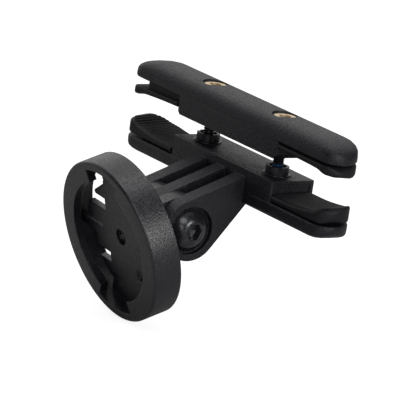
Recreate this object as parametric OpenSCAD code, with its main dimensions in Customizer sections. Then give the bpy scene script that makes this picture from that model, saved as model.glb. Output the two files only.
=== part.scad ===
// Saddle rail light mount: two clamp bars grip the saddle rails and carry a
// tilting socket for a tail light with a quarter-turn foot.
// Millimetres, +Z up, +X to the right of the bike's tail, -Y to the rear.
// The origin is midway between the two rail axes, in the plane of both.

/* [Saddle rails] */
// Diameter of a saddle rail
rail_d = 7; // [6:0.1:8]
// Distance between the two rail axes
rail_spacing = 44; // [43:0.5:48]

/* [Clamp bars] */
// Length of each clamp bar across the bike
bar_len = 73.4; // [68:0.2:80]
// Width of each clamp bar along the bike
bar_w = 9.9; // [9.4:0.1:12]
// Thickness of the lower bar under its pads
lower_bar_t = 3.15; // [2.7:0.05:5]
// Thickness of the domed upper bar over its pads
upper_bar_t = 4.25; // [4:0.05:6]
// Length of the blocks that stand between the rails
block_len = 36.3; // [34:0.1:36.5]
// Height of the lower block above its rail pads
lower_block_rise = 2.8; // [2:0.05:3]
// Drop of the upper block below its rail pads
upper_block_drop = 2.2; // [1.5:0.05:2.4]
// Opening of the clamp beyond the rails, as it stands
clamp_open = 2.5; // [1.5:0.1:2.8]
// Front corner radius of a bar tip, in plan
tip_front_r = 3.2; // [2.4:0.1:4.2]
// Length over which a tip's rear corner rounds off
tip_rear_r = 7.6; // [5:0.1:9]
// Height of the low nose at each tip of the upper bar
nose_h = 1.2; // [0.8:0.1:1.8]
// Length over which the upper bar falls to its nose
nose_run = 8; // [5:0.5:12]

/* [Rail pads] */
// Thickness of a pad where the rail rests
pad_t = 1.1; // [0.9:0.05:1.6]
// Height of the groove between a pad and its bar
groove_h = 0.4; // [0.3:0.05:0.8]
// Depth of the groove in from the sides, to the plug
groove_in = 1; // [0.6:0.1:1.6]
// Radius of the shallow cradle outside the rail
cradle_r = 60; // [40:1:90]
// Height of the lip at a lower pad's tip over the seat
lower_lip_h = 1.8; // [1.2:0.1:2.6]
// Height of the lip at an upper pad's tip over the seat
upper_lip_h = 1.2; // [1:0.1:2.6]
// Pitch of the ribs across a pad
rib_pitch = 0.8; // [0.6:0.05:1.2]
// Height of the ribs on a pad
rib_h = 0.24; // [0.1:0.02:0.35]
// Width of the smooth border round the ribs
pad_border = 0.9; // [0.6:0.05:1.3]
// Depth of a pad's plug in its bar
plug_h = 1.8; // [1.5:0.1:2]
// Gap between a pad and the end of its block
pad_gap = 0.35; // [0.2:0.05:0.6]
// Distance the upper left pad is drawn out of its bar
pad_drawn_out = 1; // [0:0.05:1.2]
// Distance its tip is bent away from the bar besides
pad_bend = 0.5; // [0:0.1:0.8]
// Share of the cradle's dish that the upper pads have
upper_dish = 0.3; // [0:0.05:1]
// Height of a lower pad's rear border over its front border
back_rise = 0.6; // [0:0.1:0.8]

/* [Clamp bolts] */
// Distance between the two clamp bolts
bolt_spacing = 25.4; // [24:0.2:26.4]
// Diameter of a clamp bolt
bolt_d = 2.4; // [2:0.1:3]
// Diameter of a clamp bolt's head
bolt_head_d = 4.5; // [4:0.1:5]
// Height of a clamp bolt's head
bolt_head_h = 2.5; // [2:0.1:3]
// Outside diameter of a bolt collar
collar_d = 4.8; // [4.2:0.1:5.2]
// Height of a bolt collar
collar_h = 1.8; // [1.5:0.05:2.2]
// Diameter of a brass insert
insert_d = 4.5; // [4.2:0.1:5]
// Length of a brass insert
insert_len = 5; // [4:0.1:5.5]
// Diameter of the round recess over an insert
insert_recess_d = 5.4; // [5.2:0.1:6.4]
// Depth of an insert's face under the dome
insert_sink = 0.45; // [0.3:0.05:0.9]

/* [Arm] */
// Distance of the pivot behind the bars' centre line
pivot_back = 15.9; // [15:0.1:20]
// Depth of the pivot below the rail axes
pivot_down = 13.4; // [12.5:0.1:18]
// Radius of the knuckles about the pivot
knuckle_r = 6.35; // [6:0.1:7.2]
// Thickness of a prong
prong_t = 3.45; // [3:0.05:3.9]
// Side gap between neighbouring prongs
prong_gap = 0.1; // [0.06:0.01:0.2]
// Tilt of the socket below level, as it stands
tilt = 18.9; // [0:0.1:40]

/* [Pivot bolt] */
// Diameter of the pivot bolt
pivot_d = 5; // [4:0.1:5.4]
// Diameter of the pivot bolt's button head
head_d = 8.8; // [8:0.1:9.4]
// Height of the button head
head_h = 2.6; // [2:0.1:3]
// Width of the hexagon socket across its flats
hex_af = 3; // [2.5:0.1:3.5]
// Diameter of the recess round the head
recess_d = 9.9; // [9.8:0.1:11]
// Depth of the recess round the head
recess_h = 1.2; // [0.6:0.1:1.6]
// Width of the pivot nut across its flats
nut_af = 8; // [7:0.1:8.4]
// Thickness of the pivot nut
nut_t = 4; // [3:0.1:4.4]

/* [Light socket] */
// Outside diameter of the socket
socket_d = 34.1; // [33:0.1:42]
// Thickness of the socket
socket_t = 6.25; // [5.2:0.05:7]
// Opening inside the lip, for the foot's hub
lip_d = 25.4; // [24.8:0.1:26.4]
// Opening behind the lip, for the foot's tabs
tab_d = 30.6; // [29.6:0.1:31.4]
// Thickness of the lip
lip_t = 1.8; // [1.2:0.1:2]
// Depth of the socket floor below its face
floor_depth = 3.1; // [2.8:0.1:3.6]
// Thickness of the floor beside its middle band
floor_t = 1.4; // [1.2:0.1:2]
// Diameter of the floor inside the slots behind the lip
floor_d = 24; // [23:0.1:24.6]
// Angle that each entry notch takes up
notch_angle = 44.5; // [36:0.5:44.5]
// Turn of the notches from the top
notch_turn = -5; // [-10:0.5:10]
// Distance from the socket's back to the pivot
neck_len = 8.15; // [7.9:0.05:10]
// Half width of the band between the windows
band_x = 4.85; // [4.4:0.05:5.4]
// Height of the upper windows' lower edge over the middle
window_v = 4.1; // [4:0.1:5.4]
// Reach of the springy fin in each upper window
fin_reach = 3.65; // [2.5:0.05:4.5]
// Width of the slit at each side of the floor
slit_w = 0.8; // [0.5:0.1:1.2]
// Width of the rib that crosses the slot under each slit
side_rib_w = 1.6; // [1:0.1:2.4]

/* [Hidden] */
$fn = 64;
hull_fn = 32;
eps = 0.01;
press = 0.01;
run_fit = 0.05;
bar_r = bar_w / 2;
half_len = bar_len / 2;
half_block = block_len / 2;
bolt_x = bolt_spacing / 2;

rail_x = rail_spacing / 2;

// Plan of a tip: the level of its foremost point along the bike
tip_y = tip_front_r - bar_r;
tip_angles = [0:11:88];

// Levels of the lower clamp
seat_z = -rail_d / 2;
lower_pad_under = seat_z - pad_t;
lower_bar_top = lower_pad_under - groove_h;
lower_bar_under = lower_bar_top - lower_bar_t;
lower_block_top = seat_z + lower_block_rise;

// Levels of the upper clamp, as it stands
upper_seat_z = rail_d / 2 + clamp_open;
upper_pad_over = upper_seat_z + pad_t;
upper_bar_under = upper_pad_over + groove_h;
upper_bar_top = upper_bar_under + upper_bar_t;
upper_block_under = upper_seat_z - upper_block_drop;
dome_power = 2.6;
boat_power = 4.2;
boat_nose = 0.8;
boat_run = 5.2;
skirt_share = 0.36;
bar_edge = 0.25;

// Blocks
block_round = 0.5;
block_back = 0.8;
block_inset = 0.08;
panel_depth = 0.4;
panel_border = [0.75, 1, 0.7];
block_chamfer = 1;
rim_groove = [0.75, 0.3];

// Rail pads
pad_root = half_block + pad_gap;
pad_round = 0.55;
pad_sink = 0.22;
pad_crown = 0.15;
lip_run = 3;
lip_crest = 1.9;
pad_nose_r = 1.3;
pad_tip_rise = 0.5;
front_lip_share = 0.5;
plug_tip_in = 3;
plug_fit = 0.04;
plug_r = bar_r - groove_in;
plug_steps = 4;

// Clamp bolts
bolt_hole_d = bolt_d + 2 * run_fit;
washer_t = 0.4;
head_play = 0.2;
head_seat_z = lower_bar_under + bolt_head_h + washer_t - 0.1;
head_top_z = head_seat_z - washer_t;
clamp_hex_af = 2;
clamp_hex_h = 1.3;
insert_top = upper_bar_top - insert_sink;
tip_sink = 0.3;
bolt_tip = insert_top - clamp_open - tip_sink;
collar_slot = 0.9;
left_collar_turn = 205;
right_collar_turn = 160;
collar_cup = [0.6, 1.1];

// Arm and pivot
pitch_x = prong_t + prong_gap + prong_t + prong_gap;
pivot = [0, -pivot_back, -pivot_down];
arm_face_x = pitch_x + prong_t / 2;
root_top = [-bar_r + 0.1, lower_block_top - 1.55];
root_under = [-bar_r + 1.3, lower_bar_under + 0.1];
pivot_hole_d = pivot_d + 2 * run_fit;
nut_wall = 1.2;
nut_boss = nut_t + nut_wall - prong_t;
pivot_washer_t = 0.5;
pivot_hex_h = 1.7;
pivot_end = 0.2;

// Socket
tab_r = tab_d / 2;
lip_r = lip_d / 2;
disc_r = socket_d / 2;
rim_round = 0.6;
dimple_d = 3.4;
dimple_depth = 0.8;
floor_r = floor_d / 2;
slit_v = -0.1;
slit_x = 6.65;
side_rib_v = -1.4;
lower_window_v = [-7.7, -5.4];
tab_recess_v = [-5.6, -2.6];
tab_recess_depth = 0.5;
fin_v = 6.85;
fin_root = 3.45;
fin_tip_r = 0.5;

// Quarter round: 1 until start, then falling to 0 at the bar's tip
function round_off(x, start) =
    sqrt(max(0, 1 - pow(max(0, (abs(x) - start) / (half_len - start)), 2)));

// Front and rear edges of a bar in plan, at a distance x from its middle
function front_edge(x) = tip_y - (bar_r + tip_y) * round_off(x, half_len - tip_front_r);
function rear_edge(x) = tip_y + (bar_r - tip_y) * round_off(x, half_len - tip_rear_r);

// Places of the sections along a bar, closer together towards its tips
tip_places = [for (a = tip_angles) half_len - tip_rear_r * (1 - sin(a))];
last_place = len(tip_places) - 1;
bar_places = concat([for (i = [last_place:-1:0]) -tip_places[i]], tip_places);

// Section of a bar that is flat on one side and rounded on the other
function bar_section(x, flat_z, up, t, nose, run, power) =
    let (y0 = front_edge(x), y1 = rear_edge(x), half = (y1 - y0) / 2,
        h = nose + (t - nose) * round_off(x, half_len - run),
        skirt = h * skirt_share, e = min(bar_edge, half / 2))
    concat([[x, y0 + e, flat_z], [x, y0, flat_z + up * e]],
        [for (a = [0:15:180]) [x,
            (y0 + y1) / 2 - half * sign(cos(a)) * pow(abs(cos(a)), 2 / power),
            flat_z + up * (skirt + (h - skirt) * pow(abs(sin(a)), 2 / power))]],
        [[x, y1, flat_z + up * e], [x, y1 - e, flat_z]]);

// A closed skin through sections that all have the same number of points
module loft(sections, flip = false) {
    n = len(sections[0]);
    last = len(sections) - 1;
    points = [for (s = sections) for (p = s) p];
    sides = [for (i = [0:last - 1]) for (j = [0:n - 1])
        let (a = i * n + j, b = i * n + (j + 1) % n)
        each [[a, b, b + n], [a, b + n, a + n]]];
    ends = [[for (j = [n - 1:-1:0]) j], [for (j = [0:n - 1]) last * n + j]];
    faces = concat(sides, ends);
    polyhedron(points, flip ? [for (f = faces) [for (k = [len(f) - 1:-1:0]) f[k]]] : faces);
}

// Lower bar: a flat boat, rounded underneath and at its tips
module lower_hull() loft([for (x = bar_places)
    bar_section(x, lower_bar_top, -1, lower_bar_t, boat_nose, boat_run, boat_power)], true);

// Upper bar: a flattened dome that falls away to a low nose at both tips
module upper_hull() loft([for (x = bar_places)
    bar_section(x, upper_bar_under, 1, upper_bar_t, nose_h, nose_run, dome_power)]);

// A block with rounded corners that passes between the rails
module block(z0, z1, back) {
    y0 = block_inset - bar_r;
    y1 = bar_r + back;
    translate([0, 0, z0]) linear_extrude(z1 - z0) {
        translate([-half_block, y0 + block_round])
            square([block_len, y1 - y0 - 2 * block_round]);
        translate([block_round - half_block, y0])
            square([block_len - 2 * block_round, y1 - y0]);
        for (s = [-1, 1], y = [y0 + block_round, y1 - block_round])
            translate([s * (half_block - block_round), y])
                circle(r = block_round, $fn = hull_fn);
    }
}

// Shape of a pad's plug in plan, on the right, from one of its steps outwards
function plug_start(step) = pad_root + block_round
    + step / plug_steps * (half_len - plug_tip_in - plug_r - pad_root - block_round);

module plug_shape(h, grow = 0, step = 0) {
    x0 = plug_start(step) - grow;
    end_x = half_len - plug_tip_in - plug_r;
    translate([x0, -plug_r - grow, 0]) cube([end_x - x0, 2 * (plug_r + grow), h]);
    translate([end_x, 0, 0]) cylinder(r = plug_r + grow, h = h);
}

// Pockets for the plugs of a bar's two pads, cut from its flat side
module plug_pockets(z0) {
    for (turn = [0, 1]) mirror([turn, 0, 0]) translate([0, 0, z0])
        plug_shape(plug_h + 2 * eps, plug_fit);
}

// Side outline of the arm: the knuckle and its two tangents to the bar
function tangent_point(p, side) =
    let (c = [-pivot_back, -pivot_down], v = p - c, d = norm(v),
        a = atan2(v[1], v[0]) + side * acos(knuckle_r / d))
    c + knuckle_r * [cos(a), sin(a)];

module arm_side() {
    translate([-pivot_back, -pivot_down]) circle(r = knuckle_r);
    polygon([[-pivot_back, -pivot_down], tangent_point(root_top, 1), root_top,
        [-bar_r + 2, root_top[1]], [-bar_r + 2, root_under[1]], root_under,
        tangent_point(root_under, -1)]);
}

// A side outline drawn in Y and Z, given a thickness along X
module along_x(x0, t) {
    translate([x0, 0, 0]) rotate([90, 0, 90]) linear_extrude(t) children();
}

module at_pivot_x(x0) {
    translate([x0, -pivot_back, -pivot_down]) rotate([0, 90, 0]) children();
}

module lower_clamp() color([0.11, 0.11, 0.12]) difference() {
    union() {
        lower_hull();
        block(lower_bar_under + lower_bar_t / 2, lower_block_top, block_back);
        for (k = [-1, 0, 1])
            along_x(k * pitch_x - prong_t / 2, prong_t) arm_side();
        // Boss that holds the pivot nut
        at_pivot_x(-arm_face_x - nut_boss)
            cylinder(r = nut_af / 2 / cos(30) + nut_wall, h = nut_boss + eps);
    }
    for (s = [-1, 1]) translate([s * bolt_x, 0, 0]) {
        translate([0, 0, lower_bar_under - 1])
            cylinder(d = bolt_hole_d, h = lower_block_top - lower_bar_under + 2);
        translate([0, 0, lower_bar_under - 1])
            cylinder(d = bolt_head_d + 2 * head_play, h = head_seat_z - lower_bar_under + 1);
    }
    plug_pockets(lower_bar_top - plug_h - eps);
    // Recessed panels in the block's ends, and the groove behind its front rim
    for (s = [-1, 1]) translate([s * half_block, 0, 0])
        translate([-panel_depth, panel_border[0] - bar_r, lower_pad_under])
            cube([2 * panel_depth, bar_w + block_back - panel_border[0] - panel_border[1],
                lower_block_top - panel_border[2] - lower_pad_under]);
    translate([panel_border[1] - half_block, rim_groove[0] - bar_r,
        lower_block_top - rim_groove[1]])
        cube([block_len - 2 * panel_border[1], rim_groove[1], 1]);
    at_pivot_x(-arm_face_x - nut_boss - 1)
        cylinder(d = pivot_hole_d, h = 2 * arm_face_x + nut_boss + 2);
    at_pivot_x(arm_face_x - recess_h) cylinder(d = recess_d, h = recess_h + 1);
    at_pivot_x(-arm_face_x - nut_boss - 1)
        cylinder(d = (nut_af + 0.1) / cos(30), h = nut_t + 1, $fn = 6);
}

module upper_clamp() color([0.11, 0.11, 0.12]) difference() {
    union() {
        upper_hull();
        block(upper_block_under, upper_bar_under + 1, 0);
    }
    plug_pockets(upper_bar_under - eps);
    // Chamfers at the lower corners of the block's ends
    for (s = [-1, 1]) translate([s * half_block, 0, upper_block_under])
        rotate([0, 45, 0])
            cube([block_chamfer * sqrt(2), 2 * bar_w, block_chamfer * sqrt(2)], center = true);
    for (s = [-1, 1]) translate([s * bolt_x, 0, 0]) {
        translate([0, 0, upper_block_under - 1])
            cylinder(d = bolt_d + 0.6, h = upper_bar_top - upper_block_under + 2);
        translate([0, 0, insert_top - insert_len])
            cylinder(d = insert_d + 2 * press, h = insert_len + 2);
        translate([0, 0, insert_top])
            cylinder(d = insert_recess_d, h = insert_sink + 2);
    }
}

// Heights of a pad's seat and of its lip at x, over the rail seat
function cradle_z(x) = pow(max(0, x - rail_x), 2) / (2 * cradle_r);
function smooth(u) = let (v = min(1, max(0, u))) v * v * (3 - 2 * v);
function lip_z(x, lip_h, dish) =
    (lip_h - dish * cradle_z(lip_x)) * smooth((x - lip_x + lip_run) / lip_run);
lip_x = half_len - lip_crest;

// Places along a pad with the depth of its field there: a plain root, the ribs, then the lip
field_x = pad_root + pad_border;
rib_count = floor((lip_x - lip_run / 2 - field_x) / rib_pitch);
field_end = field_x + rib_count * rib_pitch;
pad_places = concat(
    [[pad_root, 0], [field_x - 0.3, 0]],
    [for (i = [0:2 * rib_count]) [field_x + i * rib_pitch / 2, pad_sink + rib_h * (i % 2)]],
    [for (u = [0.25, 0.5, 0.75, 1]) [field_end + u * (half_len - pad_nose_r - field_end),
        -pad_crown * u]],
    [for (a = [22:22:88]) [half_len - pad_nose_r * (1 - sin(a)), -pad_crown]]);

// Section of a pad at x, whose ribbed field lies sink below its border
function pad_section(x, sink, lip_h, dish, rise, bend) =
    let (y0 = front_edge(x), y1 = rear_edge(x), lift = lip_z(x, lip_h, dish), seat = dish * cradle_z(x),
        thin = max(0.08, pow(round_off(x, half_len - pad_nose_r), 0.8)),
        b0 = pad_tip_rise * smooth((x - lip_x) / lip_crest) - pad_t,
        f0 = seat + front_lip_share * lift, k0 = seat + rise + lift, out = bend * pad_share(x),
        mid = (b0 + k0) / 2, b = mid + (b0 - mid) * thin,
        f = max(b + 0.1, mid + (f0 - mid) * thin), k = mid + (k0 - mid) * thin,
        w = y1 - y0, r = min(pad_round, w / 5, (f - b) / 2.2), c = 0.3 * r,
        m = min(pad_border, w / 4), n = min(pad_border + 0.25, w / 3.4))
    [for (p = [[y0 + r, b], [y0 + c, b + c], [y0, b + r], [y0, f - r], [y0 + c, f - c],
        [y0 + r, f], [y0 + m, f + (k - f) * 0.3], [y0 + n, f + (k - f) * 0.45 - sink * thin],
        [y1 - n, k - sink * thin], [y1 - m, k], [y1 - r, k], [y1 - c, k - c], [y1, k - r],
        [y1, b + r], [y1 - c, b + c], [y1 - r, b]]) [x, p[0], p[1] + out]];

// How far along a pad x lies, from 0 at its root to 1 at its tip
function pad_share(x) = (x - pad_root) / (half_len - pad_root);

// A pad on the right, with its rail side up and its seat at Z zero
module pad(lip_h, dish, rise = 0, bend = 0) {
    loft([for (p = pad_places) pad_section(p[0], p[1], lip_h, dish, rise, bend)]);
    translate([0, 0, -pad_t - groove_h - plug_h])
        for (step = [0:bend > 0 ? plug_steps - 1 : 0])
            plug_shape(plug_h + groove_h + pad_t / 3
                + bend * pad_share(plug_start(step)), 0, step);
}

module lower_right_pad() color([0.07, 0.07, 0.08])
    translate([0, 0, seat_z]) pad(lower_lip_h, 1, back_rise);

module lower_left_pad() color([0.07, 0.07, 0.08])
    translate([0, 0, seat_z]) mirror([1, 0, 0]) pad(lower_lip_h, 1, back_rise);

module upper_right_pad() color([0.07, 0.07, 0.08])
    translate([0, 0, upper_seat_z]) mirror([0, 0, 1]) pad(upper_lip_h, upper_dish);

// This pad is drawn a little out of its pocket and bent away from the bar
module upper_left_pad() color([0.07, 0.07, 0.08])
    translate([0, 0, upper_seat_z - pad_drawn_out])
        mirror([0, 0, 1]) mirror([1, 0, 0]) pad(upper_lip_h, upper_dish, 0, pad_bend);

module insert(s) color([0.8, 0.62, 0.34])
    translate([s * bolt_x, 0, insert_top - insert_len]) difference() {
        cylinder(d = insert_d, h = insert_len);
        translate([0, 0, -1]) cylinder(d = bolt_hole_d, h = insert_len + 2);
    }

module left_insert() insert(-1);
module right_insert() insert(1);

// A split collar that keeps a bolt from falling out of the lower clamp
module collar(s, turn) color([0.16, 0.16, 0.17])
    translate([s * bolt_x, 0, lower_block_top]) rotate(turn) difference() {
        cylinder(d = collar_d, h = collar_h);
        translate([0, 0, -1]) cylinder(d = bolt_hole_d, h = collar_h + 2);
        translate([0, 0, collar_h - collar_cup[1]])
            cylinder(d = collar_d - 2 * collar_cup[0], h = 2);
        translate([0, -collar_slot / 2, -1])
            cube([collar_d, collar_slot, collar_h + 2]);
    }

module left_collar() collar(-1, left_collar_turn);
module right_collar() collar(1, right_collar_turn);

module clamp_bolt(s) color([0.13, 0.13, 0.14])
    translate([s * bolt_x, 0, 0]) difference() {
        union() {
            translate([0, 0, head_top_z - bolt_head_h])
                cylinder(d = bolt_head_d, h = bolt_head_h);
            translate([0, 0, head_top_z - eps])
                cylinder(d = bolt_d, h = bolt_tip - head_top_z + eps);
        }
        translate([0, 0, head_top_z - bolt_head_h - 1])
            cylinder(d = clamp_hex_af / cos(30), h = clamp_hex_h + 1, $fn = 6);
    }

module left_clamp_bolt() clamp_bolt(-1);
module right_clamp_bolt() clamp_bolt(1);

// A thin washer under each clamp bolt's head
module washer(s) color([0.3, 0.3, 0.31])
    translate([s * bolt_x, 0, head_top_z]) difference() {
        cylinder(d = bolt_head_d + head_play, h = washer_t);
        translate([0, 0, -1]) cylinder(d = bolt_hole_d, h = 3);
    }

module left_washer() washer(-1);
module right_washer() washer(1);

// Slice of a disc between two angles
module sector(r, a0, a1, h) intersection() {
    cylinder(r = r, h = h);
    linear_extrude(h) polygon([[0, 0], 2 * r * [cos(a0), sin(a0)],
        2 * r * [cos((a0 + a1) / 2), sin((a0 + a1) / 2)], 2 * r * [cos(a1), sin(a1)]]);
}

// Half section of the rim, with its front outer edge rounded
module rim_half() {
    square([disc_r, socket_t - rim_round]);
    square([disc_r - rim_round, socket_t]);
    translate([disc_r - rim_round, socket_t - rim_round]) circle(r = rim_round, $fn = 32);
}

// The part of the plan inside the two entry notches
module notch_plan(r, h) {
    for (side = [0, 180]) rotate(side)
        sector(r, 90 - notch_angle / 2, 90 + notch_angle / 2, h);
}

// A springy fin that leans into the left upper window from the band
module fin() {
    hull() {
        translate([-band_x - fin_reach + fin_tip_r, fin_v + fin_tip_r])
            circle(r = fin_tip_r, $fn = hull_fn);
        translate([-band_x, fin_v]) square([fin_tip_r, fin_root]);
    }
}

// Openings in the left half of the floor
module left_openings() {
    difference() {
        translate([-tab_r, window_v]) square([tab_r - band_x, tab_r]);
        fin();
    }
    translate([-floor_r - eps, slit_v - slit_w / 2]) square([floor_r - slit_x, slit_w]);
    translate([-tab_r, lower_window_v[0]])
        square([tab_r - band_x, lower_window_v[1] - lower_window_v[0]]);
}

// Everything that is open through the floor, as a solid of height h
module floor_openings(h) {
    difference() {
        cylinder(r = tab_r, h = h);
        translate([0, 0, -1]) cylinder(r = floor_r, h = h + 2);
        translate([0, 0, -1]) notch_plan(2 * tab_r, h + 2);
        translate([-tab_r, side_rib_v - side_rib_w / 2, -1])
            cube([2 * tab_r, side_rib_w, h + 2]);
    }
    intersection() {
        cylinder(r = tab_r, h = h);
        linear_extrude(h) for (side = [0, 1]) mirror([side, 0]) left_openings();
    }
}

// The socket, face up, with the pivot axis through the origin
module socket_body() {
    z_back = neck_len;
    z_face = neck_len + socket_t;
    z_floor = z_face - floor_depth;
    difference() {
        translate([0, 0, z_back]) rotate_extrude($fn = 96) rim_half();
        rotate(notch_turn) {
            translate([0, 0, z_floor]) cylinder(r = lip_r, h = floor_depth + 1);
            translate([0, 0, z_floor]) cylinder(r = tab_r, h = floor_depth - lip_t);
            translate([0, 0, z_floor]) notch_plan(tab_r, floor_depth + 1);
            translate([0, 0, z_back - 1]) floor_openings(z_floor - z_back + 2);
            // Hollow back on both sides of the band
            translate([0, 0, z_back - 1]) difference() {
                cylinder(r = tab_r, h = z_floor - floor_t - z_back + 1);
                translate([-band_x, -2 * tab_r, -1]) cube([2 * band_x, 4 * tab_r, floor_t + 9]);
            }
            // Sunk catches for the foot, and the dimple in the middle
            for (side = [0, 1]) mirror([side, 0]) intersection() {
                translate([-tab_r, tab_recess_v[0], z_floor - tab_recess_depth])
                    cube([tab_r - 2 * band_x, tab_recess_v[1] - tab_recess_v[0], 2]);
                translate([0, 0, z_back]) cylinder(r = floor_r + eps, h = socket_t);
            }
            translate([0, 0, z_floor - dimple_depth]) difference() {
                cylinder(d = dimple_d, h = dimple_depth + 1);
                translate([0, 0, -1]) cylinder(d = dimple_d / 3, h = 1 + dimple_depth / 2);
            }
        }
    }
    for (s = [-1, 1]) translate([s * pitch_x / 2 - prong_t / 2, 0, 0])
        rotate([90, 0, 90]) linear_extrude(prong_t) {
            circle(r = knuckle_r);
            translate([-knuckle_r, 0]) square([2 * knuckle_r, neck_len + eps]);
        }
}

module light_socket() color([0.12, 0.12, 0.13])
    translate(pivot) rotate([90 + tilt, 0, 0]) difference() {
        socket_body();
        rotate([0, 90, 0]) cylinder(d = pivot_hole_d, h = 2 * pitch_x, center = true);
    }

// Dome of the button head, as half a section
head_ball_r = (pow(head_d / 2, 2) + pow(head_h, 2)) / (2 * head_h);

module head_half() intersection() {
    square([head_d / 2, head_h]);
    translate([0, head_h - head_ball_r]) circle(r = head_ball_r, $fn = 96);
}

module pivot_bolt() color([0.1, 0.1, 0.11]) {
    head_x = arm_face_x - recess_h + pivot_washer_t;
    at_pivot_x(head_x) difference() {
        rotate_extrude() head_half();
        translate([0, 0, head_h - pivot_hex_h]) cylinder(d = hex_af / cos(30), h = 3, $fn = 6);
    }
    at_pivot_x(-arm_face_x - nut_boss + pivot_end)
        cylinder(d = pivot_d, h = head_x + arm_face_x + nut_boss - pivot_end + eps);
}

// Thin washer under the button head
module pivot_washer() color([0.3, 0.3, 0.31])
    at_pivot_x(arm_face_x - recess_h) difference() {
        cylinder(d = head_d - head_play, h = pivot_washer_t);
        translate([0, 0, -1]) cylinder(d = pivot_hole_d, h = 3);
    }

module pivot_nut() color([0.35, 0.35, 0.36])
    at_pivot_x(-arm_face_x - nut_boss) difference() {
        cylinder(d = nut_af / cos(30), h = nut_t, $fn = 6);
        translate([0, 0, -1]) cylinder(d = pivot_hole_d, h = nut_t + 2);
    }

lower_clamp();
upper_clamp();
lower_left_pad();
lower_right_pad();
upper_left_pad();
upper_right_pad();
left_insert();
right_insert();
left_collar();
right_collar();
left_clamp_bolt();
right_clamp_bolt();
left_washer();
right_washer();
light_socket();
pivot_bolt();
pivot_washer();
pivot_nut();
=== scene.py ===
"""Looks, stage, light and camera of the saddle rail light mount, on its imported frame."""

import math

import bmesh
import bpy
from mathutils import Matrix, Quaternion, Vector


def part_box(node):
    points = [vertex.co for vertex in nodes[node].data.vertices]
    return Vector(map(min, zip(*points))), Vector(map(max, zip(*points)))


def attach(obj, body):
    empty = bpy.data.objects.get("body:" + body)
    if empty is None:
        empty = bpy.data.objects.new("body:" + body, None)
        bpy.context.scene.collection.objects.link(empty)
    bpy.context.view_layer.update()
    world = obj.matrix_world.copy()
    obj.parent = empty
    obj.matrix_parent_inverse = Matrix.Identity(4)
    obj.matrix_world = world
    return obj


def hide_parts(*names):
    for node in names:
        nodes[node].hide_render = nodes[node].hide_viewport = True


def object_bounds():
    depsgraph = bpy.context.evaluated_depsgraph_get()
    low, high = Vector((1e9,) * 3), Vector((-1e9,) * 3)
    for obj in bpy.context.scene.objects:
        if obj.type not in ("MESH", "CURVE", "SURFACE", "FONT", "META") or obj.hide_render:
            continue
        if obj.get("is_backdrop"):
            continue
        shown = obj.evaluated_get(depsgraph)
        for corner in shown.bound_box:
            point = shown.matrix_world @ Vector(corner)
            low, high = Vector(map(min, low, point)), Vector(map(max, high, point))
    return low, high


bl_info = {
    "name": "Saddle rail light mount",
    "version": (1, 0, 0),
    "blender": (4, 5, 0),
    "location": "3D View > Sidebar > Light mount",
    "description": "Dresses the packed saddle rail light mount and sets its stage",
    "category": "Object",
}

MM = 0.001
BEVEL_SAMPLES = 6
INSERT_X = 12.7  # from the middle to each insert's axis, in millimetres
WELD = 0.0005  # corners closer together than this become one, in millimetres
FLOOR_SIZE, FLOOR_GAP = 6, 0.0004  # in metres; the gap keeps the floor off the part
FLOOR_SEEN = 0.85  # brightness that only the camera sees on the floor
AIM = (0, -0.01, -0.005)  # the point that the lamps look at
LAMP_SIZE = 0.5
LAMPS = (  # name, place, and power as a share of the setting
    ("top_light", (0, 0, 1), 1.0),
    ("right_light", (0.95, 0.1, 0.3), 2.6),
    ("front_light", (0.7, -0.7, 0.1), 0.8),
    ("key_light", (0.6, -0.4, 0.6), 1.0),
)
BACKDROP_SIDES = ((-0.978, 0.0, 0.208), (-0.455, 0.455, 0.766))
BACKDROP_FOCUS = 5  # how fast the backdrop darkens away from its middle
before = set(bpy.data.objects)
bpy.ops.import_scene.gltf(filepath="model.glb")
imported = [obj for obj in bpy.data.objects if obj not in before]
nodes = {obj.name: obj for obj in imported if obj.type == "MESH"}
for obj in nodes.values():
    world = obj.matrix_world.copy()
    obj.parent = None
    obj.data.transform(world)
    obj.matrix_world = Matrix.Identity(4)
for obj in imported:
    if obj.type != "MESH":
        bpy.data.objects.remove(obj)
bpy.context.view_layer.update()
LOWER_BODY, UPPER_BODY, SOCKET_BODY = "lower_body", "upper_body", "socket_body"


# Shader maths


class Wire:
    """An output socket of a finish, so that shader maths reads as Python."""

    def __init__(self, finish, socket):
        self.finish = finish
        self.socket = socket

    def out(self, name):
        """Another output of the same node."""
        return Wire(self.finish, self.socket.node.outputs[name])

    def maths(self, operation, *values):
        settings = {"operation": operation}
        return self.finish.node("ShaderNodeMath", settings, dict(enumerate(values)))

    def __add__(self, other):
        return self.maths("ADD", self, other)

    def __radd__(self, other):
        return self.maths("ADD", other, self)

    def __sub__(self, other):
        return self.maths("SUBTRACT", self, other)

    def __rsub__(self, other):
        return self.maths("SUBTRACT", other, self)

    def __mul__(self, other):
        return self.maths("MULTIPLY", self, other)

    def __rmul__(self, other):
        return self.maths("MULTIPLY", other, self)

    def __pow__(self, other):
        return self.maths("POWER", self, other)

    def __abs__(self):
        return self.maths("ABSOLUTE", self)

    def sine(self):
        return self.maths("SINE", self)

    def larger(self, other):
        return self.maths("MAXIMUM", self, other)

    def rise(self, low, high):
        """0 below low, 1 above high, and smooth between them."""
        settings = {"interpolation_type": "SMOOTHSTEP"}
        return self.finish.node(
            "ShaderNodeMapRange",
            settings,
            {"Value": self, "From Min": low, "From Max": high},
        )


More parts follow.
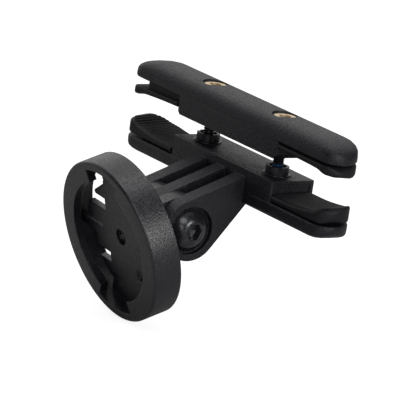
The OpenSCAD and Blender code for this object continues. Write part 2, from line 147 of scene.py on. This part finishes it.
class Finish:
    """A material whose nodes are added one expression at a time."""

    def __init__(self, name):
        self.material = bpy.data.materials.new(name)
        self.material.use_nodes = True
        self.tree = self.material.node_tree
        self.shader = self.tree.nodes["Principled BSDF"]

    def node(self, kind, settings=None, sockets=None):
        """Adds a node, sets it up, then fills or links its sockets."""
        made = self.tree.nodes.new(kind)
        for name, value in (settings or {}).items():
            setattr(made, name, value)
        for name, value in (sockets or {}).items():
            self.feed(self.socket(made, name), value)
        return Wire(self, next(o for o in made.outputs if o.enabled))

    @staticmethod
    def socket(made, name):
        if isinstance(name, int):
            return made.inputs[name]
        for socket in made.inputs:
            if socket.identifier == name:
                return socket
        return made.inputs[name]

    def feed(self, socket, value):
        if isinstance(value, Wire):
            self.tree.links.new(value.socket, socket)
        else:
            socket.default_value = value

    def set(self, **values):
        """Sets or links the surface shader's sockets, named with _ for spaces."""
        for name, value in values.items():
            label = name.replace("_", " ").title().replace("Ior", "IOR")
            self.feed(self.shader.inputs[label], value)

    def place(self):
        """The point on the piece, in millimetres of the part's frame."""
        at = self.node("ShaderNodeTexCoord").out("Object")
        return self.node(
            "ShaderNodeVectorMath",
            {"operation": "SCALE"},
            {"Vector": at, "Scale": 1 / MM},
        )

    def axes(self, at):
        """The three coordinates of a point."""
        split = self.node("ShaderNodeSeparateXYZ", None, {"Vector": at})
        return split, split.out("Y"), split.out("Z")

    def grain(self, at, size, detail=2.0, roughness=0.5):
        """Noise whose lumps are about size millimetres across."""
        return self.node(
            "ShaderNodeTexNoise",
            None,
            {"Vector": at, "Scale": 1 / size, "Detail": detail, "Roughness": roughness},
        )

    def blend(self, amount, first, second):
        """A colour between two colours."""
        return self.node(
            "ShaderNodeMix",
            {"data_type": "RGBA"},
            {"Factor_Float": amount, "A_Color": first, "B_Color": second},
        )

    def round_edges(self, radius):
        """Normals that carry a small moulded radius round the edges."""
        settings = {"samples": BEVEL_SAMPLES}
        return self.node("ShaderNodeBevel", settings, {"Radius": radius * MM})

    def turned_away(self, normal):
        """How far a rounded normal leans from the flat one, from 0 up."""
        flat = self.node("ShaderNodeNewGeometry").out("Normal")
        settings = {"operation": "DOT_PRODUCT"}
        return 1.0 - self.node("ShaderNodeVectorMath", settings, {0: normal, 1: flat})

    def bump(self, height, depth, normal=None):
        """Relief of depth millimetres from a height of 0 to 1."""
        sockets = {"Height": height, "Distance": depth * MM, "Strength": 1.0}
        if normal is not None:
            sockets["Normal"] = normal
        return self.node("ShaderNodeBump", None, sockets)


class Sky(Finish):
    """The world's nodes, added in the same way as a finish's."""

    def __init__(self, name):
        world = bpy.data.worlds.new(name)
        bpy.context.scene.world = world
        world.use_nodes = True
        self.tree = world.node_tree
        self.shader = self.tree.nodes["Background"]


def rgba(colour, shade=1.0):
    return (*[c * shade for c in colour], 1.0)


# Settings


class PlasticLook(bpy.types.PropertyGroup):
    """Black glass-filled plastic of the clamps, the arm and the socket."""

    colour: bpy.props.FloatVectorProperty(
        name="Colour",
        description="Colour of the moulded plastic",
        subtype="COLOR",
        size=3,
        min=0,
        max=1,
        default=(0.0068, 0.0070, 0.0105),
    )
    roughness: bpy.props.FloatProperty(
        name="Roughness",
        description="Roughness of the moulded plastic",
        subtype="FACTOR",
        min=0,
        max=1,
        default=0.46,
    )
    grain: bpy.props.FloatProperty(
        name="Grain",
        description="Size of the spark-eroded grain in millimetres",
        min=0.02,
        max=1,
        default=0.42,
    )
    edge: bpy.props.FloatProperty(
        name="Edge radius",
        description="Moulded radius along the edges in millimetres",
        min=0,
        max=1,
        default=0.25,
    )


class RubberLook(bpy.types.PropertyGroup):
    """Rubber of the rail pads."""

    colour: bpy.props.FloatVectorProperty(
        name="Colour",
        description="Colour of the rail pads",
        subtype="COLOR",
        size=3,
        min=0,
        max=1,
        default=(0.0075, 0.0077, 0.0100),
    )
    roughness: bpy.props.FloatProperty(
        name="Roughness",
        description="Roughness of the rail pads",
        subtype="FACTOR",
        min=0,
        max=1,
        default=0.52,
    )


class MetalLook(bpy.types.PropertyGroup):
    """Brass inserts and black steel bolts."""

    brass: bpy.props.FloatVectorProperty(
        name="Brass",
        description="Colour of the threaded inserts",
        subtype="COLOR",
        size=3,
        min=0,
        max=1,
        default=(0.98, 0.78, 0.52),
    )
    steel: bpy.props.FloatVectorProperty(
        name="Black steel",
        description="Colour of the bolts' black oxide",
        subtype="COLOR",
        size=3,
        min=0,
        max=1,
        default=(0.040, 0.041, 0.046),
    )
    thread_lock: bpy.props.FloatVectorProperty(
        name="Thread lock",
        description="Colour of the dried thread lock on the right clamp bolt",
        subtype="COLOR",
        size=3,
        min=0,
        max=1,
        default=(0.02, 0.07, 0.18),
    )


class ScrewForm(bpy.types.PropertyGroup):
    """Threads and sockets of the bolts."""

    pitch: bpy.props.FloatProperty(
        name="Clamp bolt pitch",
        description="Thread pitch of the clamp bolts in millimetres",
        min=0.3,
        max=1,
        default=0.45,
    )
    depth: bpy.props.FloatProperty(
        name="Thread depth",
        description="Depth of the clamp bolts' thread in millimetres",
        min=0.05,
        max=0.5,
        default=0.2,
    )
    pivot_hex: bpy.props.FloatProperty(
        name="Pivot hexagon",
        description="Width across the flats of the pivot bolt's socket in millimetres",
        min=2,
        max=4,
        default=3,
    )
    clamp_hex: bpy.props.FloatProperty(
        name="Clamp hexagon",
        description="Width across the flats of the clamp bolts' sockets in millimetres",
        min=1.5,
        max=2.5,
        default=2,
    )


class PadForm(bpy.types.PropertyGroup):
    """Ribs of the rail pads."""

    pitch: bpy.props.FloatProperty(
        name="Rib pitch",
        description="Distance from one rib to the next in millimetres",
        min=0.4,
        max=1.2,
        default=0.74,
    )
    height: bpy.props.FloatProperty(
        name="Rib height",
        description="Height of the ribs in millimetres",
        min=0.05,
        max=0.35,
        default=0.26,
    )


class StageLook(bpy.types.PropertyGroup):
    """Floor, light and camera."""

    camera_place: bpy.props.FloatVectorProperty(
        name="Camera place",
        description="Where the camera stands",
        subtype="TRANSLATION",
        unit="LENGTH",
        size=3,
        default=(0.642961, -0.462737, 0.180603),
    )
    camera_turn: bpy.props.FloatVectorProperty(
        name="Camera turn",
        description="The camera's rotation as a quaternion",
        subtype="QUATERNION",
        size=4,
        default=(0.669722, 0.568349, 0.244004, 0.410991),
    )
    lens: bpy.props.FloatProperty(
        name="Focal length",
        description="Focal length on a 36 mm sensor",
        min=20,
        max=1000,
        default=360.05,
    )
    floor_colour: bpy.props.FloatVectorProperty(
        name="Floor",
        description="Colour of the floor",
        subtype="COLOR",
        size=3,
        min=0,
        max=1,
        default=(0.52, 0.52, 0.52),
    )
    lamp_power: bpy.props.FloatProperty(
        name="Lamps",
        description="Power of the lamp above, which the others are set against",
        subtype="POWER",
        min=0,
        default=1.4,
    )
    backdrop: bpy.props.FloatProperty(
        name="Backdrop",
        description="Brightness of the white backdrop behind the object",
        min=0,
        default=0.9,
    )
    sky: bpy.props.FloatProperty(
        name="Sky light",
        description="Strength of the even light from all round",
        min=0,
        default=0.03,
    )


class MountSettings(bpy.types.PropertyGroup):
    """All the settings of the mount."""

    plastic: bpy.props.PointerProperty(type=PlasticLook)
    rubber: bpy.props.PointerProperty(type=RubberLook)
    metal: bpy.props.PointerProperty(type=MetalLook)
    screws: bpy.props.PointerProperty(type=ScrewForm)
    pads: bpy.props.PointerProperty(type=PadForm)
    stage: bpy.props.PointerProperty(type=StageLook)


# Finishes


def moulded_plastic(name, look, gloss=0.0, shade=1.0, shine=0.42, depth=0.16):
    """Matte black plastic with a fine grain, faint flow marks and a painted highlight
    along its edges.

    gloss is taken off the roughness, shade scales the colour, shine is the
    specular level, and depth is the grain's relief in millimetres.
    """
    finish = Finish(name)
    rounded = finish.round_edges(look.edge)
    edge = finish.turned_away(rounded).rise(0.01, 0.12)
    at = finish.place()
    grain = finish.grain(at, look.grain, 3.0, 0.62)
    cloud = finish.grain(at, 4.5, 2.0)
    patch = finish.grain(at, 1.3, 3.0)
    dark = rgba(look.colour, 0.3 * shade)
    pale = rgba(look.colour, 2.2 * shade)
    # painted highlight: seven times the plastic's colour, laid in patches along convex and
    # hollow edges alike
    painted_edge_highlight = rgba(look.colour, 7 * shade)
    skin = finish.blend(cloud * 0.4 + grain.rise(0.35, 0.65) * 0.6, dark, pale)
    pits = grain.rise(0.42, 0.62)
    matt = (look.roughness - gloss - 0.14) + patch * 0.12 + pits * 0.16
    finish.set(
        # the base colour turns into the painted edge highlight where the rounded normal
        # leans from the flat one
        base_color=finish.blend(edge * patch, skin, painted_edge_highlight),
        roughness=matt - edge * 0.16,
        specular_ior_level=shine,
        normal=finish.bump(grain, depth, rounded),
    )
    return finish.material


def rail_rubber(name, look):
    """Black rubber with a soft bloom and a finer grain."""
    finish = Finish(name)
    at = finish.place()
    grain = finish.grain(at, 0.14, 2.0, 0.6)
    bloom = finish.grain(at, 2.6, 3.0)
    finish.set(
        base_color=finish.blend(
            bloom, rgba(look.colour, 0.75), rgba(look.colour, 1.5)
        ),
        roughness=(look.roughness - 0.06) + grain * 0.12 + bloom * 0.06,
        specular_ior_level=0.3,
        normal=finish.bump(grain, 0.012, finish.round_edges(0.12)),
    )
    return finish.material


def turned_brass(name, look):
    """Bright brass with fine turning rings about the insert's own axis."""
    finish = Finish(name)
    at = finish.place()
    x, y, _ = finish.axes(at)
    from_axis = abs(x) - INSERT_X
    radius = (from_axis * from_axis + y * y) ** 0.5
    ring_rate = 55.0
    rings = (radius * ring_rate).sine() * 0.5 + 0.5
    cloud = finish.grain(at, 0.8, 3.0)
    tarnish = cloud.rise(0.45, 0.75)
    finish.set(
        base_color=finish.blend(
            tarnish, rgba(look.brass), rgba(look.brass, 0.72)
        ),
        metallic=1.0,
        roughness=0.32 + cloud * 0.2,
        normal=finish.bump(rings * 0.6 + cloud * 0.4, 0.006, finish.round_edges(0.15)),
    )
    return finish.material


def black_steel(name, look):
    """Black oxide on steel, polished by handling on the high places."""
    finish = Finish(name)
    at = finish.place()
    scale = finish.grain(at, 0.35, 3.0)
    rub = finish.grain(at, 1.6, 2.0).rise(0.5, 0.72)
    finish.set(
        base_color=finish.blend(rub, rgba(look.steel), rgba(look.steel, 1.7)),
        metallic=0.7,
        specular_ior_level=0.9,
        coat_weight=0.4,
        coat_roughness=0.12,
        roughness=0.24 + scale * 0.08,
        normal=finish.bump(scale, 0.004, finish.round_edges(0.1)),
    )
    return finish.material


def locked_thread(name, look):
    """Black steel with a patch of dried blue thread lock low on its thread."""
    finish = Finish(name)
    at = finish.place()
    _, _, z = finish.axes(at)
    scale = finish.grain(at, 0.35, 3.0)
    ragged = z + finish.grain(at, 0.7, 2.0) * 0.9
    patch = ragged.rise(1.2, 1.5) * (1.0 - ragged.rise(1.9, 2.2))
    finish.set(
        base_color=finish.blend(patch, rgba(look.steel), rgba(look.thread_lock)),
        metallic=0.85 - patch * 0.85,
        roughness=0.24 + scale * 0.12 + patch * 0.2,
        normal=finish.bump(scale, 0.004),
    )
    return finish.material


def washer_steel(name, look):
    """Dull dark steel of the washers and the nut."""
    finish = Finish(name)
    at = finish.place()
    scale = finish.grain(at, 0.25, 3.0)
    finish.set(
        base_color=finish.blend(scale, rgba(look.steel, 1.5), rgba(look.steel, 2.6)),
        metallic=0.9,
        roughness=0.36 + scale * 0.18,
        normal=finish.bump(scale, 0.006, finish.round_edges(0.1)),
    )
    return finish.material


# Meshes


def new_piece(name, bm, material, smooth=True):
    """Turns a bmesh into a piece that wears one material."""
    bmesh.ops.recalc_face_normals(bm, faces=bm.faces)
    mesh = bpy.data.meshes.new(name)
    bm.to_mesh(mesh)
    bm.free()
    mesh.materials.append(material)
    for face in mesh.polygons:
        face.use_smooth = smooth
    piece = bpy.data.objects.new(name, mesh)
    bpy.context.scene.collection.objects.link(piece)
    return piece


def turned_mesh(rings, steps, to_frame):
    """A closed solid from rings of (height, radius or its function of the angle)."""
    bm = bmesh.new()
    rows = []
    for height, radius in rings:
        row = []
        for i in range(steps):
            angle = 2 * math.pi * i / steps
            r = radius(angle) if callable(radius) else radius
            point = Vector((r * math.cos(angle), r * math.sin(angle), height))
            row.append(bm.verts.new(to_frame @ point))
        rows.append(row)
    for low, high in zip(rows, rows[1:]):
        for i in range(steps):
            j = (i + 1) % steps
            bm.faces.new((low[i], low[j], high[j], high[i]))
    bm.faces.new(reversed(rows[0]))
    bm.faces.new(rows[-1])
    return bm


def hexagon(across):
    """Radius of a hexagon, as wide as given across its flats, at an angle."""

    def radius(angle):
        turn = (angle + math.pi / 6) % (math.pi / 3) - math.pi / 6
        return across / 2 / math.cos(turn)

    return radius


def helix(core, depth, pitch, height, taper=1.0):
    """Radius of a thread's surface at one height, as a function of the angle."""

    def radius(angle):
        phase = (height / pitch - angle / (2 * math.pi)) % 1
        ridge = min(1.0, max(0.0, 1.25 - 2.5 * abs(phase - 0.5)))
        return core + depth * (1 - ridge) * taper

    return radius


def knurled(radius, depth, count):
    """Radius of a knurled head at an angle."""
    return lambda angle: radius - depth * (0.5 + 0.5 * math.cos(count * angle))


def smooth_by_angle(piece, degrees):
    """Smooth shading that keeps edges sharper than this angle."""
    bm = bmesh.new()
    bm.from_mesh(piece.data)
    for edge in bm.edges:
        if len(edge.link_faces) == 2:
            edge.smooth = edge.calc_face_angle() < math.radians(degrees)
    bm.to_mesh(piece.data)
    bm.free()


def smooth_copy(node, body, material):
    """A copy of a CAD node whose small facets shade as one rounded surface."""
    source = nodes[node]
    bm = bmesh.new()
    bm.from_mesh(source.data)
    bm.transform(source.matrix_world)
    bmesh.ops.remove_doubles(bm, verts=bm.verts, dist=WELD * MM)
    piece = new_piece(node + "_moulded", bm, material)
    smooth_by_angle(piece, degrees=32)
    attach(piece, body)
    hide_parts(node)
    return piece


def ease(share):
    """0 to 1 with a soft start and end."""
    share = min(1, max(0, share))
    return share * share * (3 - 2 * share)


class Pad:
    """Sizes of a rail pad in millimetres, as they are in the part's source."""

    half_len, bar_r = 36.7, 4.95
    front_r, rear_r = 3.2, 7.6
    tip_y = -1.75
    root, rail_x, cradle_r = 18.5, 22.0, 60.0
    thick, sink, nose_r, tip_rise = 1.1, 0.22, 1.3, 0.5
    least_wall, least_thin, nose_power = 0.1, 0.08, 0.8
    border, kerb, corner = 0.9, 0.25, 0.55
    kerb_foot, kerb_top, field_shares = 0.3, 0.45, (0.3, 0.6, 0.85)
    lip_x, lip_run, lip_crest, front_share = 34.8, 3.0, 1.9, 0.5
    field_end, rib_lead, rib_fade = 0.2, 0.35, 2.4
    rib_steps, rib_power = 8, 0.7
    plug_r, plug_end, plug_drop, plug_gap = 3.95, 29.75, 3.3, 0.5
    arc_step, nose_step, plug_step = 18, 11, 10

    def __init__(self, lip_h, dish, rise, bend):
        self.lip_h, self.dish, self.rise, self.bend = lip_h, dish, rise, bend

    def fall(self, x, start):
        """1 until start, then a quarter round that ends at the tip."""
        share = max(0, x - start) / (self.half_len - start)
        return math.sqrt(max(0, 1 - share**2))

    def cradle(self, x):
        return max(0, x - self.rail_x) ** 2 / (2 * self.cradle_r)

    def arc(self, y, z, radius, start, drop=0):
        """A quarter round from start degrees down, its top let down by drop."""
        points = []
        for step in range(0, 91, self.arc_step):
            angle = math.radians(start - step)
            sine = math.sin(angle)
            points.append((y + radius * math.cos(angle), z + radius * sine - drop * sine))
        return points

    def section(self, x, groove, ribbed):
        """Outline at x, where groove is the depth below the ribs' tops."""
        front_fall = self.fall(x, self.half_len - self.front_r)
        rear_fall = self.fall(x, self.half_len - self.rear_r)
        front = self.tip_y - (self.bar_r + self.tip_y) * front_fall
        rear = self.tip_y + (self.bar_r - self.tip_y) * rear_fall
        wide = rear - front
        lift = self.lip_h - self.dish * self.cradle(self.lip_x)
        lift *= ease((x - self.lip_x + self.lip_run) / self.lip_run)
        seat = self.dish * self.cradle(x)
        crest = ease((x - self.lip_x) / self.lip_crest)
        under = self.tip_rise * crest - self.thick
        low_top = seat + self.front_share * lift
        high_top = seat + self.rise + lift
        middle = (under + high_top) / 2
        nose = self.fall(x, self.half_len - self.nose_r)
        thin = max(self.least_thin, nose**self.nose_power)
        base = middle + (under - middle) * thin
        brow = max(base + self.least_wall, middle + (low_top - middle) * thin)
        back = middle + (high_top - middle) * thin
        turn = min(self.corner, wide / 5, (brow - base) / 2.2)
        rim = min(self.border, wide / 4)
        field = min(self.border + self.kerb, wide / 3.4)
        deep = (self.sink * ribbed + groove) * thin
        edge = groove * thin
        points = self.arc(front + turn, base + turn, turn, 270)
        points += self.arc(front + turn, brow - turn, turn, 180)
        points.append((front + rim, brow + (back - brow) * self.kerb_foot))
        points.append((front + field, brow + (back - brow) * self.kerb_top - deep))
        for share in self.field_shares:
            y = front + field + (rear - turn - front - field) * share
            climb = self.kerb_top + (1 - self.kerb_top) * share
            z = brow + (back - brow) * climb - deep * (1 - share) - edge * share
            points.append((y, z))
        points += self.arc(rear - turn, back - turn, turn, 90, edge)
        points += self.arc(rear - turn, base + turn, turn, 0)
        out = self.bend * (x - self.root) / (self.half_len - self.root)
        return [Vector((x, y, z + out)) for y, z in points]

    def places(self, form):
        """Places along the pad, with the groove's depth and the field's share."""
        start = self.root + self.border
        end = self.lip_x + self.field_end
        count = round((end - start) / form.pitch) * self.rib_steps
        yield self.root, 0, 0
        yield start - self.rib_lead, 0, 0
        for i in range(count + 1):
            phase = i / self.rib_steps % 1
            ridge = abs(math.sin(math.pi * phase)) ** self.rib_power
            x = start + i * (end - start) / count
            fade = ease((x - end + self.rib_fade) / self.rib_fade)
            yield x, form.height * (1 - ridge), 1 - fade
        for share in (0.5, 1):
            yield end + share * (self.half_len - self.nose_r - end), 0, 0
        for angle in range(self.nose_step, 90, self.nose_step):
            away = self.nose_r * (1 - math.sin(math.radians(angle)))
            yield self.half_len - away, 0, 0

    def mesh(self, form):
        bm = bmesh.new()
        rows = [
            [bm.verts.new(p) for p in self.section(*place)]
            for place in self.places(form)
        ]
        size = len(rows[0])
        for low, high in zip(rows, rows[1:]):
            for i in range(size):
                j = (i + 1) % size
                bm.faces.new((low[i], low[j], high[j], high[i]))
        bm.faces.new(rows[0])
        bm.faces.new(reversed(rows[-1]))
        self.plug(bm)
        return bm

    def plug(self, bm):
        """The plug that holds the pad in its bar."""
        start = self.root + self.plug_gap
        outline = [(start, -self.plug_r)]
        for step in range(-90, 91, self.plug_step):
            angle = math.radians(step)
            x = self.plug_end + self.plug_r * math.cos(angle)
            outline.append((x, self.plug_r * math.sin(angle)))
        outline.append((start, self.plug_r))
        ends = [
            [bm.verts.new((x, y, z)) for x, y in outline]
            for z in (-self.plug_drop, -self.thick / 3)
        ]
        for i in range(len(outline)):
            j = (i + 1) % len(outline)
            bm.faces.new((ends[0][i], ends[0][j], ends[1][j], ends[1][i]))
        bm.faces.new(reversed(ends[0]))
        bm.faces.new(ends[1])


def dress(node, material):
    """Gives a CAD node's whole surface one material."""
    for slot in nodes[node].material_slots:
        slot.material = material


def foot_of(low, high):
    """The middle of a box's underside."""
    return Vector(((low.x + high.x) / 2, (low.y + high.y) / 2, low.z))


def millimetres_at(place):
    """Takes millimetres about a place into the part's frame."""
    return Matrix.Translation(place) @ Matrix.Scale(MM, 4)


# Operators


class MOUNT_OT_clamps(bpy.types.Operator):
    """Dresses the two clamp bars"""

    bl_idname = "mount.clamps"
    bl_label = "Clamps"

    def execute(self, context):
        look = context.scene.mount.plastic
        plastic = moulded_plastic("moulded_plastic", look)
        smooth_copy("lower_clamp", LOWER_BODY, plastic)
        smooth_copy("upper_clamp", UPPER_BODY, plastic)
        return {"FINISHED"}


class MOUNT_OT_socket(bpy.types.Operator):
    """Dresses the light socket"""

    bl_idname = "mount.socket"
    bl_label = "Light socket"

    def execute(self, context):
        look = context.scene.mount.plastic
        plastic = moulded_plastic(
            "socket_plastic", look, gloss=0.06, shade=0.9, shine=0.8, depth=0.07
        )
        smooth_copy("light_socket", SOCKET_BODY, plastic)
        return {"FINISHED"}


class MOUNT_OT_rail_pads(bpy.types.Operator):
    """Builds the four ribbed rail pads"""

    bl_idname = "mount.rail_pads"
    bl_label = "Rail pads"

    def execute(self, context):
        settings = context.scene.mount
        rubber = rail_rubber("rail_rubber", settings.rubber)
        lower = Pad(lip_h=1.8, dish=1.0, rise=0.6, bend=0.0)
        upper = Pad(lip_h=1.2, dish=0.3, rise=0.0, bend=0.0)
        drawn = Pad(lip_h=1.2, dish=0.3, rise=0.0, bend=0.5)
        for node, pad, side, up, seat, body in (
            ("lower_left_pad", lower, -1, 1, -3.5, LOWER_BODY),
            ("lower_right_pad", lower, 1, 1, -3.5, LOWER_BODY),
            ("upper_left_pad", drawn, -1, -1, 5.0, UPPER_BODY),
            ("upper_right_pad", upper, 1, -1, 6.0, UPPER_BODY),
        ):
            bm = pad.mesh(settings.pads)
            place = Matrix.Translation((0, 0, seat)) @ Matrix.Diagonal((side, 1, up, 1))
            bm.transform(Matrix.Scale(MM, 4) @ place)
            piece = new_piece(node + "_ribbed", bm, rubber)
            smooth_by_angle(piece, degrees=42)
            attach(piece, body)
            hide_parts(node)
        return {"FINISHED"}


class MOUNT_OT_inserts(bpy.types.Operator):
    """Dresses the brass inserts and the bolts' collars"""

    bl_idname = "mount.inserts"
    bl_label = "Inserts and collars"

    def execute(self, context):
        settings = context.scene.mount
        brass = turned_brass("insert_brass", settings.metal)
        collar = moulded_plastic(
            "collar_plastic", settings.plastic, gloss=0.1, shine=0.5, depth=0.0
        )
        for node in ("left_insert", "right_insert"):
            dress(node, brass)
        inner, outer, sunk, top, bevel = 2.42, 3.0, -0.1, 0.3, 0.14
        rings = [
            (sunk, inner),
            (sunk, outer),
            (top - bevel, outer),
            (top, outer - bevel),
            (top, inner),
        ]
        for node in ("left_collar", "right_collar"):
            dress(node, collar)
            low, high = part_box(node)
            to_frame = millimetres_at(foot_of(low, high))
            foot = new_piece(node + "_foot", turned_mesh(rings, 64, to_frame), collar)
            smooth_by_angle(foot, degrees=40)
            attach(foot, LOWER_BODY)
        return {"FINISHED"}


class MOUNT_OT_clamp_bolts(bpy.types.Operator):
    """Builds the two clamp bolts with their threads, knurled heads and sockets"""

    bl_idname = "mount.clamp_bolts"
    bl_label = "Clamp bolts"

    def execute(self, context):
        settings = context.scene.mount
        plain = black_steel("clamp_bolt_steel", settings.metal)
        locked = locked_thread("locked_bolt_steel", settings.metal)
        self.bolt("left_clamp_bolt", "left_bolt", plain, settings.screws)
        self.bolt("right_clamp_bolt", "right_bolt", locked, settings.screws)
        return {"FINISHED"}

    def bolt(self, node, body, material, form):
        """One bolt, head down, from rings that run from its socket to its tip."""
        low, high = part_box(node)
        head_r = (high.x - low.x) / 2 / MM
        length = (high.z - low.z) / MM
        shank_r, head_h, plain_h = 1.2, 2.5, 1.6
        point_h, hex_h, point_r = 1.5, 1.3, 0.02
        mouth, bevel, rim, shoulder = 0.25, 0.12, 0.35, 0.2
        side_low, side_high = 0.3, head_h - 0.25
        run_in, run_out, root_in, rings_per_turn, tip_gap = 0.5, 0.4, 0.3, 8, 0.02
        hex_hole = hexagon(form.clamp_hex)
        side = knurled(head_r, depth=0.06, count=36)
        rings = [
            (point_h, point_r),
            (hex_h, hex_hole),
            (bevel, hex_hole),
            (0, hexagon(form.clamp_hex + mouth)),
            (0, head_r - rim),
            (bevel, head_r - bevel),
            (side_low, side),
            (side_high, side),
            (head_h, head_r - shoulder),
            (head_h, shank_r),
        ]
        start = head_h + plain_h
        z = start
        rings.append((z, shank_r))
        while z < length - tip_gap:
            taper = min(1.0, (z - start) / run_in, (length - z) / run_out)
            core = shank_r - form.depth * min(1.0, (z - start) / root_in)
            rings.append((z, helix(core, form.depth, form.pitch, z, taper)))
            z += form.pitch / rings_per_turn
        rings.append((length, shank_r - form.depth))
        solid = turned_mesh(rings, 48, millimetres_at(foot_of(low, high)))
        piece = new_piece(node + "_threaded", solid, material)
        smooth_by_angle(piece, degrees=50)
        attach(piece, body)
        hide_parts(node)


class MOUNT_OT_pivot(bpy.types.Operator):
    """Builds the pivot bolt and dresses its washer and nut"""

    bl_idname = "mount.pivot"
    bl_label = "Pivot bolt"

    def execute(self, context):
        settings = context.scene.mount
        dull = washer_steel("washer_steel", settings.metal)
        for node in ("left_washer", "right_washer", "pivot_washer", "pivot_nut"):
            dress(node, dull)
        low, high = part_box("pivot_bolt")
        head_r = (high.z - low.z) / 2 / MM
        length = (high.x - low.x) / MM
        head_h, shank_r = 2.6, 2.5
        under = length - head_h
        depth, pitch, threaded, run_out = 0.45, 0.8, 6, 0.6
        chamfer, ring_gap, brim = 0.3, 0.1, 0.1
        dome_rings, mouth_share, lip, mouth_h = 15, 0.62, 0.02, 0.15
        hex_h, point_h, point_r = 2.4, 2.8, 0.02
        hex_wide = settings.screws.pivot_hex
        socket, mouth = hexagon(hex_wide), hexagon(hex_wide + 0.3)
        ball = (head_r**2 + head_h**2) / (2 * head_h)
        rings = [(0, shank_r - depth)]
        z = chamfer
        while z < threaded:
            taper = min(1.0, (threaded - z) / run_out)
            rings.append((z, helix(shank_r - depth * taper, depth, pitch, z, taper)))
            z += ring_gap
        rings += [(threaded + ring_gap, shank_r), (under, shank_r)]
        rings += [(under, head_r - brim), (under + brim, head_r)]
        for i in range(1, dome_rings):
            h = head_h * i / dome_rings
            r = math.sqrt(ball**2 - (ball - head_h + h) ** 2)
            if r > hex_wide * mouth_share:
                rings.append((under + h, r))
        top = rings[-1][0] + lip
        rings += [(top, mouth), (top - mouth_h, socket), (length - hex_h, socket)]
        rings.append((length - point_h, point_r))
        at = Vector((low.x, (low.y + high.y) / 2, (low.z + high.z) / 2))
        to_frame = millimetres_at(at) @ Matrix.Rotation(math.pi / 2, 4, "Y")
        steel = black_steel("pivot_bolt_steel", settings.metal)
        piece = new_piece("pivot_bolt_turned", turned_mesh(rings, 72, to_frame), steel)
        smooth_by_angle(piece, degrees=35)
        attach(piece, "pivot_body")
        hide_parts("pivot_bolt")
        return {"FINISHED"}


class MOUNT_OT_stage(bpy.types.Operator):
    """Sets the floor, the lights, the sky and the camera"""

    bl_idname = "mount.stage"
    bl_label = "Stage"

    def execute(self, context):
        look = context.scene.mount.stage
        low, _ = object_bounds()
        self.floor(low.z, look)
        self.sky(look)
        for name, place, share in LAMPS:
            self.lamp(name, place, look.lamp_power * share)
        camera = bpy.data.cameras.new("camera")
        camera.lens = look.lens
        camera.sensor_width = 36
        camera.clip_start, camera.clip_end = 0.01, 20
        holder = bpy.data.objects.new("camera", camera)
        holder.location = look.camera_place
        holder.rotation_mode = "QUATERNION"
        holder.rotation_quaternion = Quaternion(look.camera_turn)
        context.scene.collection.objects.link(holder)
        context.scene.camera = holder
        context.scene.view_settings.view_transform = "Standard"
        return {"FINISHED"}

    def floor(self, level, look):
        finish = Finish("floor_paper")
        seen = finish.node("ShaderNodeLightPath").out("Is Camera Ray")
        tooth = finish.grain(finish.place(), 3.0, 3.0)
        white = rgba((1.0, 1.0, 1.0))
        finish.set(
            base_color=finish.blend(
                tooth, rgba(look.floor_colour, 0.99), rgba(look.floor_colour)
            ),
            roughness=0.9,
            specular_ior_level=0.0,
            emission_color=finish.blend(seen, rgba((0, 0, 0)), white),
            emission_strength=FLOOR_SEEN,
        )
        bm = bmesh.new()
        bmesh.ops.create_grid(bm, x_segments=8, y_segments=8, size=FLOOR_SIZE)
        bmesh.ops.translate(bm, verts=bm.verts, vec=(0, 0, level - FLOOR_GAP))
        new_piece("floor", bm, finish.material, smooth=False)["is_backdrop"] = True

    def sky(self, look):
        """A dim studio with a white backdrop on the far side of the object."""
        sky = Sky("studio_sky")
        at = sky.node("ShaderNodeTexCoord").out("Generated")
        seen = sky.node("ShaderNodeLightPath").out("Is Camera Ray")
        glow = look.sky
        for side in BACKDROP_SIDES:
            facing = sky.node(
                "ShaderNodeVectorMath", {"operation": "DOT_PRODUCT"}, {0: at, 1: side}
            )
            glow = glow + facing.larger(0.0) ** BACKDROP_FOCUS * look.backdrop
        sky.feed(sky.shader.inputs["Strength"], glow * (1.0 - seen) + seen)
        sky.feed(sky.shader.inputs["Color"], rgba((1.0, 1.0, 1.0)))

    def lamp(self, name, place, power):
        light = bpy.data.lights.new(name, "AREA")
        light.shape = "DISK"
        light.size = LAMP_SIZE
        light.energy = power
        holder = bpy.data.objects.new(name, light)
        holder.location = place
        aim = Vector(AIM) - Vector(place)
        holder.rotation_mode = "QUATERNION"
        holder.rotation_quaternion = aim.to_track_quat("-Z", "Y")
        bpy.context.scene.collection.objects.link(holder)


class MOUNT_PT_panel(bpy.types.Panel):
    """Lists the mount's steps in the sidebar"""

    bl_label = "Light mount"
    bl_idname = "MOUNT_PT_panel"
    bl_space_type = "VIEW_3D"
    bl_region_type = "UI"
    bl_category = "Light mount"

    def draw(self, context):
        for step in STEPS:
            self.layout.operator(step.bl_idname)


STEPS = (
    MOUNT_OT_clamps,
    MOUNT_OT_socket,
    MOUNT_OT_rail_pads,
    MOUNT_OT_inserts,
    MOUNT_OT_clamp_bolts,
    MOUNT_OT_pivot,
    MOUNT_OT_stage,
)
LOOKS = (
    PlasticLook,
    RubberLook,
    MetalLook,
    ScrewForm,
    PadForm,
    StageLook,
    MountSettings,
)


def register():
    for cls in (*LOOKS, *STEPS, MOUNT_PT_panel):
        bpy.utils.register_class(cls)
    bpy.types.Scene.mount = bpy.props.PointerProperty(type=MountSettings)


def unregister():
    del bpy.types.Scene.mount
    for cls in reversed((*LOOKS, *STEPS, MOUNT_PT_panel)):
        bpy.utils.unregister_class(cls)


def main():
    register()
    bpy.ops.mount.clamps()
    bpy.ops.mount.socket()
    bpy.ops.mount.rail_pads()
    bpy.ops.mount.inserts()
    bpy.ops.mount.clamp_bolts()
    bpy.ops.mount.pivot()
    bpy.ops.mount.stage()


if __name__ == "__main__":
    main()
